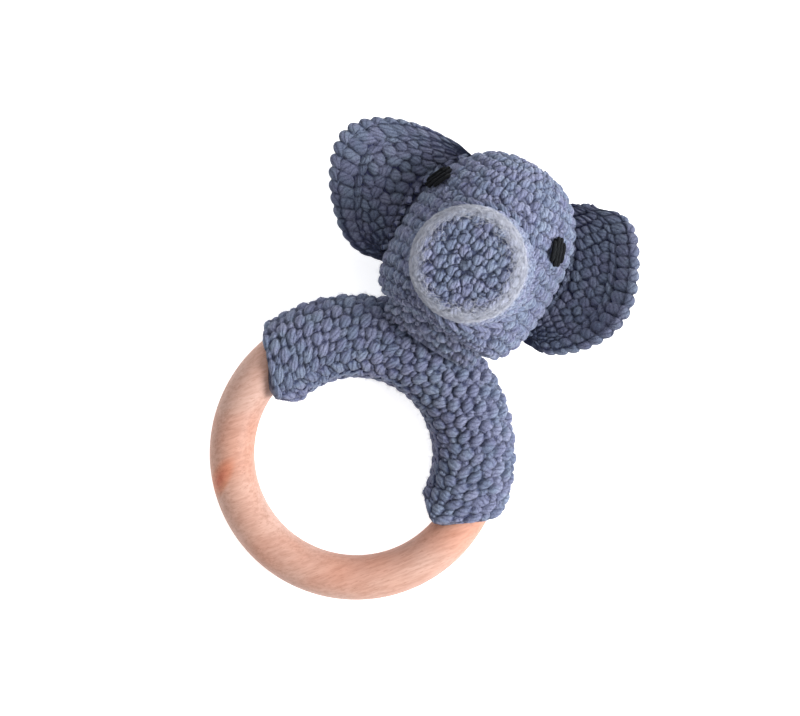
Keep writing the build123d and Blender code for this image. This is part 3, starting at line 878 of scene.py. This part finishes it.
# ---- trunk ----
trunk_body = core_piece("trunk_body", trunk.grid(50, 96, CORE_LIFT, 0.25))
yarn = Yarn()
rim_v = trunk.v[-1] - (TRUNK_LENGTH + TRUNK_SUNK - TRUNK_EDGE_R)
DISC_WIDE, DISC_HIGH = 3.45, 2.5
places = [
    ((column + 0.5 * (row % 2)) * DISC_WIDE + 0.5, row * DISC_HIGH + 0.4)
    for row in range(-6, 7) for column in range(-5, 6)
]
places = [place for place in places if math.hypot(*place) < rim_v + 0.5]
disc = spread(places, DISC_STITCH, np.ones(len(places)), 0.22)
middles = spiral(trunk, 3, int(trunk.v[-1] / PITCH) + 1, lean=0.25)
middles = middles[middles[:, 1] > rim_v + 1.5]
side = spread(middles, SINGLE_CROCHET, trunk.radius_at(middles[:, 1]))
TRUNK_GRID = (120, 240)
u, v = trunk.places(*TRUNK_GRID, FIRST_V)
flat_chart = ((v * np.sin(u)).ravel(), (v * np.cos(u)).ravel(), 1.0, 1.0, None, disc)
u, v, points, normals, clear, shade, yarn_map = turned_relief(trunk, *TRUNK_GRID, side, more=[flat_chart])
# The rim's band is felted flat and mixed towards the pale blue, with less painted crevice shade. The paleness is
# partly felt and partly painted light: the light the rounded rim catches, carried down the side to lift the shade
# where the trunk meets the head.
past_rim = v - rim_v + 1.2
felt_and_painted_light = np.exp(-np.where(past_rim < 0, (past_rim / 2.7) ** 4, (past_rim / 6.0) ** 2))
plain, _ = trunk(u, v, np.full(u.shape, BASE_LIFT + 0.95))
points = points + (plain - points) * (0.62 * felt_and_painted_light)[..., None]
clear = clear + (1 - clear) * 0.72 * felt_and_painted_light
patchy = rng.uniform(0.35, 1.0, TRUNK_GRID)
patchy = (patchy + np.roll(patchy, 1, 1) + np.roll(patchy, 2, 1) + np.roll(patchy, 1, 0)) / 4
yarn.relief(points, shade, clear, patchy * felt_and_painted_light, yarn_map)
trunk_crochet = yarn.build("trunk_crochet", blue)

# the rim is felted: pale fibres stand off it, their paleness partly a painted highlight on the rounded rim
yarn = Yarn()
FLUFF = 3200
fluff_u = rng.uniform(0, 2 * np.pi, FLUFF)
fluff_v = rim_v + rng.normal(-0.8, 1.9, FLUFF)
way = rng.choice([-1.0, 1.0], FLUFF) * rng.uniform(0.6, 1.8, FLUFF) / trunk.radius_at(fluff_v)
drift = rng.normal(0, 0.7, (3, FLUFF)) + fluff_v
height = rng.uniform(0.1, 0.75, (3, FLUFF)) - 0.25
strand = [trunk(fluff_u + k * way, drift[k], height[k] - 0.25 * (k != 1)) for k in range(3)]
path, normal = (np.stack([part[which] for part in strand], 1) for which in (0, 1))
radius = np.broadcast_to(np.array([0.6, 1.0, 0.5]) * 0.036, (FLUFF, 3))
yarn.strands(path, normal, radius, segs=3, depth=0.0, tint=0.6, pale=1.0)
trunk_fluff = yarn.build("trunk_fluff", fluff)

# ---- sleeve ----
SLEEVE_ROWS, SLEEVE_STITCHES = 19, 20
SHELL_LIFT = -1.9       # the inner face of the sleeve's crochet
BORE_R = WOOD_R + 0.3
around = np.linspace(0, sleeve.v[-1], 96, endpoint=False)
along, across = np.meshgrid(np.linspace(0.03, 0.97, 120), around, indexing="ij")
shell, _ = sleeve(along, across, np.full(along.shape, SHELL_LIFT))


def bore_ring(u, around):
    """A ring of points just off the wood, at one end of the sleeve."""
    outer, _ = sleeve(np.full(len(around), u), around, np.full(len(around), SHELL_LIFT))
    level = np.hypot(outer[:, 0], outer[:, 1])
    turn = np.arctan2(outer[:, 2] - RING_Z, level - SLEEVE_MIDDLE_R)
    ratio = (RING_R + BORE_R * np.cos(turn)) / level
    return np.stack([outer[:, 0] * ratio, outer[:, 1] * ratio, RING_Z + BORE_R * np.sin(turn)], 1)


bore = np.stack([bore_ring(u, around) for u in np.linspace(0.97, 0.03, 60)])
sleeve_body = core_piece("sleeve_body", np.concatenate([shell, bore]), closed=True)
ROW_HEIGHT = sleeve.v[-1] / SLEEVE_ROWS
SLEEVE_GRID = (270, 176)
SLEEVE_SIZE = 88.0      # the sleeve's length in mm, for the places of its stitches
LIP_R = 1.6             # how far its ends are rounded
around = np.arange(SLEEVE_GRID[1]) * sleeve.v[-1] / SLEEVE_GRID[1]
u, v = np.meshgrid(np.linspace(0, 1, SLEEVE_GRID[0]), around, indexing="ij")
level = np.zeros(SLEEVE_GRID)
arc = np.linalg.norm(sleeve(u + 0.004, v, level)[0] - sleeve(u - 0.004, v, level)[0], axis=-1) / 0.008
places = [
    ((column + 0.5 * (row % 2)) / SLEEVE_STITCHES, (row + 0.5) * ROW_HEIGHT)
    for row in range(SLEEVE_ROWS) for column in range(SLEEVE_STITCHES + 1)
]
stitches = spread(places, SLEEVE_STITCH, np.full(len(places), SLEEVE_SIZE), 0.14)
turns = (-sleeve.v[-1], 0, sleeve.v[-1])
repeats = [(mid_u, mid_v + turn, *rest) for mid_u, mid_v, *rest in stitches for turn in turns]
stitches = [stitch for stitch in repeats if -3 < stitch[1] < sleeve.v[-1] + 3]
chart = (u.ravel(), v.ravel(), arc.ravel(), 1.0, None, stitches)
high, clear, shade, yarn_map = packed([chart], u.size)
to_end = np.minimum(u, 1 - u) * arc
lip = LIP_R * (1 - np.sqrt(1 - (1 - np.clip(to_end / LIP_R, 0, 1)) ** 2))
points, normals = sleeve(u, v, BASE_LIFT + high.reshape(u.shape) - lip)
yarn = Yarn()
first, last = ([bore_ring(end, around)] for end in (0.012, 0.988))
inside = [bore_ring(end, around) for end in np.linspace(0.975, 0.025, 40)]
skin = np.concatenate([first, points, last, inside])
widths = ((1, 1 + len(inside)), (0, 0))
shade = np.pad(shade.reshape(u.shape), widths, mode="edge")
# a clearness of 0.4 paints the sleeve's ends and the inside of its bore darker, as shade
clear = np.pad(clear.reshape(u.shape), widths, constant_values=0.4)
yarn_map = np.pad(yarn_map.reshape(*u.shape, 2), (*widths, (0, 0)))
yarn.relief(skin, shade, clear, 0.0, yarn_map, closed_v=True)
add_fuzz(yarn, points.reshape(-1, 3), normals.reshape(-1, 3), 4000)
sleeve_crochet = yarn.build("sleeve_crochet", sleeve_blue_shaded)

yarn = Yarn()
count = 20
for lane, depth in enumerate((0.6, 2.0, 3.4)):
    spot = 0.05 + 0.9 * (np.arange(count) + 0.5 + 0.3 * lane) / (count + 0.6)
    at = np.full(count, sleeve.v[-1] * 0.5 - depth) + rng.normal(0, 0.12, count)
    cells = np.stack([spot, at, np.full(count, 1 / count), np.full(count, 1.5)], 1)
    add_whip(yarn, lambda u, v, lift: sleeve(u, v, lift - 0.35), cells, *WHIP)
sleeve_whip = yarn.build("sleeve_whip", blue)

# ---- neck: stitches from the sleeve to the foot of the head ----
yarn = Yarn()
COLLAR_ROWS, COLLAR_COLUMNS, COLLAR_R = 36, 190, 11.0
turn = np.arange(COLLAR_COLUMNS) * 2 * np.pi / COLLAR_COLUMNS
side, rise, level = np.sin(turn), np.cos(turn), 0 * turn
collar = np.stack([
    np.stack(ring, -1) for ring in (
        (10.4 * side, HEAD_FOOT + 4.5 + level, HEAD_Z + 10.0 * rise),
        (12.3 * side, HEAD_FOOT + 1.0 + level, HEAD_Z - 1.4 + 11.0 * rise),
        (11.6 * side, RING_R + 1.0 + level, RING_Z + 4.0 + 8.0 * rise),
    )
])
t = np.linspace(0, 1, COLLAR_ROWS)[:, None, None]
points = (1 - t) * (1 - 2 * t) * collar[0] + 4 * t * (1 - t) * collar[1] + t * (2 * t - 1) * collar[2]
down, round_it = np.gradient(points, axis=0), np.roll(points, -1, 1) - np.roll(points, 1, 1)
normals = unit(np.cross(down, round_it))
steps = np.linalg.norm(np.diff(points, axis=0), axis=-1)
run = np.concatenate([np.zeros((1, COLLAR_COLUMNS)), np.cumsum(steps, axis=0)])
places = [((column + 0.4 * row) * 2 * np.pi / 17, 1.4 + 3.7 * row) for row in range(5) for column in range(17)]
stitches = spread(places, SLEEVE_STITCH, np.full(len(places), COLLAR_R), 0.15)
spot = np.broadcast_to(turn, run.shape)
chart = (spot.ravel(), run.ravel(), COLLAR_R, 1.0, 2 * np.pi, stitches)
high, clear, shade, yarn_map = packed([chart], run.size)
points = points + normals * (high.reshape(run.shape) - 0.8)[..., None]
yarn.relief(points, shade, clear.reshape(run.shape), 0.0, yarn_map)
neck_stitches = yarn.build("neck_stitches", blue)

# ---- trunk seam ----
yarn = Yarn()
count = 27
for turn in np.arange(count) * 2 * np.pi / count:
    spots = []
    for shift, reach, lift in ((-0.11, 0.1, 0.2), (0.0, 0.8, 0.2), (0.11, 1.5, -0.7)):
        reach += TRUNK_BASE_R - 0.4
        x, y = reach * math.cos(turn + shift), TRUNK_Y + reach * math.sin(turn + shift)
        spots.append((x, y, HEAD_Z + math.sqrt(max(head_radius(y) ** 2 - x**2, 1.0)) + lift))
    path = curve_through(np.array(spots), np.linspace(0, 1, 7))[None]
    normal = np.broadcast_to(np.array([0, 0, 1.0]), path.shape)
    add_rope(yarn, path, normal, np.full((1, 7), 0.8))
trunk_stitches = yarn.build("trunk_stitches", blue)

# ---- ears ----
def row_count(ear, v, pitch):
    """How many stitches of a pitch fit along an ear, at v of the way from its root to its rim."""
    line = ear.middle_face(np.linspace(0, 1, 60), np.full(60, v))
    return max(5, round(np.linalg.norm(np.diff(line, axis=0), axis=1).sum() / pitch))


# rows of an ear: way from the root to the rim, pitch, half length, half width, lean and height, in mm
EAR_ROWS = [
    (0.03, 2.2, 1.7, 0.65, 0.25, 0.9), (0.13, 2.2, 1.7, 0.65, 0.25, 0.9),
    (0.235, 2.7, 1.55, 1.20, 1.0, 0.95), (0.345, 2.7, 1.55, 1.20, 2.0, 0.95), (0.455, 2.7, 1.55, 1.20, 1.0, 0.95),
    (0.565, 2.7, 1.55, 1.20, 2.0, 0.95), (0.67, 2.5, 1.80, 0.85, 0.35, 1.00), (0.82, 3.1, 2.35, 1.50, 1.5, 1.15),
    (0.955, 3.1, 1.90, 1.25, 0.2, 1.1),
]

EAR_GRID = (150, 70)
SEAM_STITCHES = 10
ears = {}
for side in ("left", "right"):
    ear = Ear(side)
    us = np.linspace(0, 1, 60)
    vs = np.concatenate([np.linspace(0, 0.85, 20), np.linspace(0.85, 0, 20)])
    faces = np.concatenate([np.ones(20), -np.ones(20)])
    sheet_points = [ear(us, np.full(60, v), np.full(60, 0.15), face)[0] for v, face in zip(vs, faces)]
    body = core_piece(f"{side}_ear_body", np.stack(sheet_points[:: ear.sign], 1))
    yarn = Yarn()
    closer = 1 - np.linspace(1, 0, EAR_GRID[1]) ** 1.15     # points lie closer towards the rim
    u, v = np.meshgrid(np.linspace(0, 1, EAR_GRID[0]), closer, indexing="ij")
    scales = []
    for du, dv in ((0.005, 0), (0, 0.005)):
        step = ear.middle_face(u + du, v + dv) - ear.middle_face(u - du, v - dv)
        scales.append(np.linalg.norm(step, axis=-1).ravel() / 0.01)
    rounded = np.sqrt(1 - np.clip((v - 0.90) / 0.10, 0, 1) ** 2)
    posts = row_count(ear, 0.95, 3.1)
    scallop = np.abs(np.sin(np.pi * u * posts)) ** 0.6 - 0.6
    edge_v = v + 0.05 * np.clip((v - 0.7) / 0.3, 0, 1) ** 2 * scallop
    half = {}
    for face in (1, -1):
        stitches = []
        for at, pitch, long, wide, lean, tall in EAR_ROWS:
            long, wide = long * EAR_GROWTH[side], wide * EAR_GROWTH[side]
            count = row_count(ear, at, pitch) if at < 0.8 else posts
            for k in range(count):
                spot = (k + 0.5 + rng.normal(0, 0.06 if at < 0.8 else 0.01)) / count
                size = rng.uniform(0.93, 1.08)
                turn = lean + rng.normal(0, 0.12)
                stitches.append((spot, at + rng.normal(0, 0.004), long * size, wide * size, turn, tall))
        high, clear, shade, yarn_map = packed([(u.ravel(), v.ravel(), *scales, None, stitches)], u.size)
        points, _ = ear(u, edge_v, (0.35 + high.reshape(u.shape)) * rounded, face)
        half[face] = [points, *(item.reshape(*u.shape, -1) for item in (shade, clear, yarn_map))]
    both = [np.concatenate([front, back[:, -2::-1]], 1)[:, :: ear.sign] for front, back in zip(half[1], half[-1])]
    points, shade, clear, yarn_map = both
    yarn.relief(points, shade, clear, 0.0, yarn_map)
    spots, normals = ear(rng.uniform(0, 1, 500), rng.uniform(0.1, 1, 500), np.full(500, 0.8))
    add_fuzz(yarn, spots, normals, 1200)
    crochet = yarn.build(f"{side}_ear_crochet", ear_blue_shaded)
    yarn = Yarn()
    crown, foot = EAR_ROOT[side]
    for k in range(SEAM_STITCHES):
        y = foot + 1.5 + 3.0 * k
        share = np.array((crown - y) / (crown - foot))
        outer = ear(share, np.array(0.12), 0.3)[0] + [0, 0.9, 0]
        above = float(ear(share, np.array(0.0), 0.0)[0][2]) + 2.3 - HEAD_Z
        beside = math.sqrt(head_radius(y) ** 2 - above**2) + 0.2
        inner = np.array([ear.sign * beside, y - 0.9, HEAD_Z + above])
        path = curve_through(np.array([inner, (inner + outer) / 2, outer]), np.linspace(0, 1, 6))[None]
        add_rope(yarn, path, np.broadcast_to(np.array([0, 0, 1.0]), path.shape), np.full((1, 6), 0.65))
    root = yarn.build(f"{side}_ear_stitches", blue)
    ears[side] = (body, crochet, root)

# ---- eyes ----
eyes = {}
for side, sign in (("left", -1), ("right", 1)):
    yarn = Yarn()
    eye_x, eye_y = EYES[side]
    across, upward = math.sin(EYE_LEAN), math.cos(EYE_LEAN)
    share = np.linspace(-0.5, 0.5, 9)
    for i, length in enumerate(EYE_STRANDS):
        offset = (i - (len(EYE_STRANDS) - 1) / 2) * 0.76
        x = eye_x + offset * upward - sign * share * length * across
        y = eye_y + sign * offset * across + share * length * upward
        z = HEAD_Z + np.sqrt(np.maximum(head_radius(y) ** 2 - x**2, 4.0)) + 0.30 - 18.0 * share**4
        path = np.stack([x, y, z], 1)[None]
        normal = np.stack([x, 0 * y, z - HEAD_Z], 1)[None]
        yarn.strands(path, unit(normal), np.full((1, 9), 0.56), segs=8)
    eyes[side] = yarn.build(f"{side}_eye_stitches", black)


# ---- what each piece rides on and stands for ----
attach(sleeve_body, "sleeve")
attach(sleeve_crochet, "sleeve")
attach(sleeve_whip, "sleeve")
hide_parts("ring_sleeve")
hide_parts("sleeve_seam")
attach(head_body, "head")
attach(head_crochet, "head")
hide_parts("head_cover")


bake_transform(neck_stitches)
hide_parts("neck_seam")
for piece in (trunk_body, trunk_crochet, trunk_fluff):
    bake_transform(piece)
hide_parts("trunk_base", "trunk_tip")
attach(trunk_stitches, "head")
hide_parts("trunk_seam")
for side, sign in (("left", -1), ("right", 1)):
    body, crochet, root = ears[side]
    for piece in (body, crochet, root):
        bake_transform(piece)
    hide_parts(f"{side}_ear", f"{side}_ear_edging")
    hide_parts(f"{side}_ear_seam")
    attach(eyes[side], "head")
    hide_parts(f"{side}_eye")

for name, node in frame["nodes"].items():
    if node.hide_render:
        continue
    if name == "wooden_ring":
        finish = "beech"
    elif "stuffing" in name:
        finish = "wadding"
    elif "bead" in name:
        finish = "bead_plastic"
    else:
        finish = "capsule_plastic"
    for material_slot in node.material_slots:
        material_slot.material = FINISHES[finish]

# ---- floor, light and camera ----
floor_mesh = bpy.data.meshes.new("floor")
HALF = 1.5
corners = [(-HALF, -HALF, 0), (HALF, -HALF, 0), (HALF, HALF, 0), (-HALF, HALF, 0)]
floor_mesh.from_pydata(corners, [], [(0, 1, 2, 3)])
floor = linked("floor", floor_mesh)
n = Nodes("paper_floor")
mottle = n.noise(n.place(), 30.0, 3.0, 0.5)
n.set(
    Base_Color=n.ramp(mottle, [(0.3, (0.90, 0.90, 0.90)), (0.7, (0.93, 0.93, 0.93))]), Roughness=0.9,
    Emission_Color=(1.0, 1.0, 1.0, 1.0), Emission_Strength=0.72,
)
floor_mesh.materials.append(n.material)
floor.location.z = -0.0002
floor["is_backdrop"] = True

world = bpy.data.worlds.new("studio")
world.use_nodes = True
sky = world.node_tree.nodes["Background"]
sky.inputs[0].default_value = (1.0, 1.0, 1.0, 1.0)
sky.inputs[1].default_value = 0.40
bpy.context.scene.world = world


def softbox(name, place, size, power, target=(0, 0.01, 0.02)):
    """A square area light that faces a target."""
    light = bpy.data.lights.new(name, "AREA")
    light.shape = "SQUARE"
    light.size = size
    light.energy = power
    lamp = linked(name, light)
    lamp.location = place
    lamp.rotation_euler = (Vector(target) - Vector(place)).to_track_quat("-Z", "Y").to_euler()


softbox("key", (0.55, 0.19, 0.49), 0.32, 7.6)
softbox("fill", (-0.2, 0.5, 0.9), 0.8, 3.4)

camera_data = bpy.data.cameras.new("camera")
camera_data.sensor_width = 36.0
camera_data.lens = 103.7
camera = linked("camera", camera_data)
camera.location = (-0.0032, 0.0022, 0.558)
camera.rotation_euler = (0.0, 0.0, math.radians(32.0))
bpy.context.scene.camera = camera
bpy.context.scene.view_settings.view_transform = "Standard"

low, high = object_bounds()
